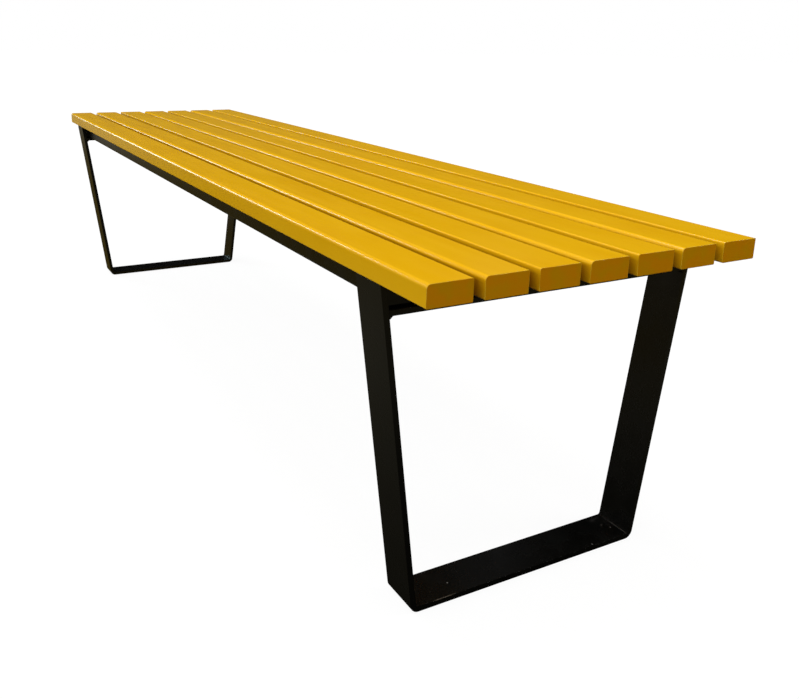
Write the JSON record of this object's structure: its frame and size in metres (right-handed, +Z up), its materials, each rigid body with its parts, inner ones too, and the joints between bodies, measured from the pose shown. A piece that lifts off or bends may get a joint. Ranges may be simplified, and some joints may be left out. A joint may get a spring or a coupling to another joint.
{
  "type": "backless bench",
  "caption": "Long backless outdoor bench: rounded painted timber slats on a black steel seat frame, with a closed trapezoid flat-bar leg near each end.",
  "frame": {"origin": "on the floor, under the middle of the seat", "axes": "+X along the slats, +Y from the front of the seat to the back, +Z up"},
  "size_m": [2, 0.5, 0.475],
  "materials": {
    "slat_paint": "timber under a smooth satin amber-yellow paint",
    "frame_black": "fine satin black powder coat",
    "zinc_fixings": "bright zinc plate"
  },
  "bodies": {
    "root": {"slat_1": "slat_paint", "slat_2": "slat_paint", "slat_3": "slat_paint", "slat_4": "slat_paint", "slat_5": "slat_paint", "slat_6": "slat_paint", "slat_7": "slat_paint", "leg_bar_left": "frame_black", "leg_bar_right": "frame_black", "leg_crossbar_left": "frame_black", "leg_crossbar_right": "frame_black", "end_bearer_left": "frame_black", "end_bearer_right": "frame_black", "seat_tie_left": "frame_black", "seat_tie_right": "frame_black", "side_rail_front": "frame_black", "side_rail_back": "frame_black", "slat_screw_01": "zinc_fixings", "slat_screw_02": "zinc_fixings", "slat_screw_03": "zinc_fixings", "slat_screw_04": "zinc_fixings", "slat_screw_05": "zinc_fixings", "slat_screw_06": "zinc_fixings", "slat_screw_07": "zinc_fixings", "slat_screw_08": "zinc_fixings", "slat_screw_09": "zinc_fixings", "slat_screw_10": "zinc_fixings", "slat_screw_11": "zinc_fixings", "slat_screw_12": "zinc_fixings", "slat_screw_13": "zinc_fixings", "slat_screw_14": "zinc_fixings", "slat_screw_15": "zinc_fixings", "slat_screw_16": "zinc_fixings", "slat_screw_17": "zinc_fixings", "slat_screw_18": "zinc_fixings", "slat_screw_19": "zinc_fixings", "slat_screw_20": "zinc_fixings", "slat_screw_21": "zinc_fixings", "slat_screw_22": "zinc_fixings", "slat_screw_23": "zinc_fixings", "slat_screw_24": "zinc_fixings", "slat_screw_25": "zinc_fixings", "slat_screw_26": "zinc_fixings", "slat_screw_27": "zinc_fixings", "slat_screw_28": "zinc_fixings", "leg_bolt_left_front": "zinc_fixings", "leg_bolt_left_back": "zinc_fixings", "leg_bolt_right_front": "zinc_fixings", "leg_bolt_right_back": "zinc_fixings", "leg_nut_left_front": "zinc_fixings", "leg_nut_left_back": "zinc_fixings", "leg_nut_right_front": "zinc_fixings", "leg_nut_right_back": "zinc_fixings"}
  },
  "joints": []
}
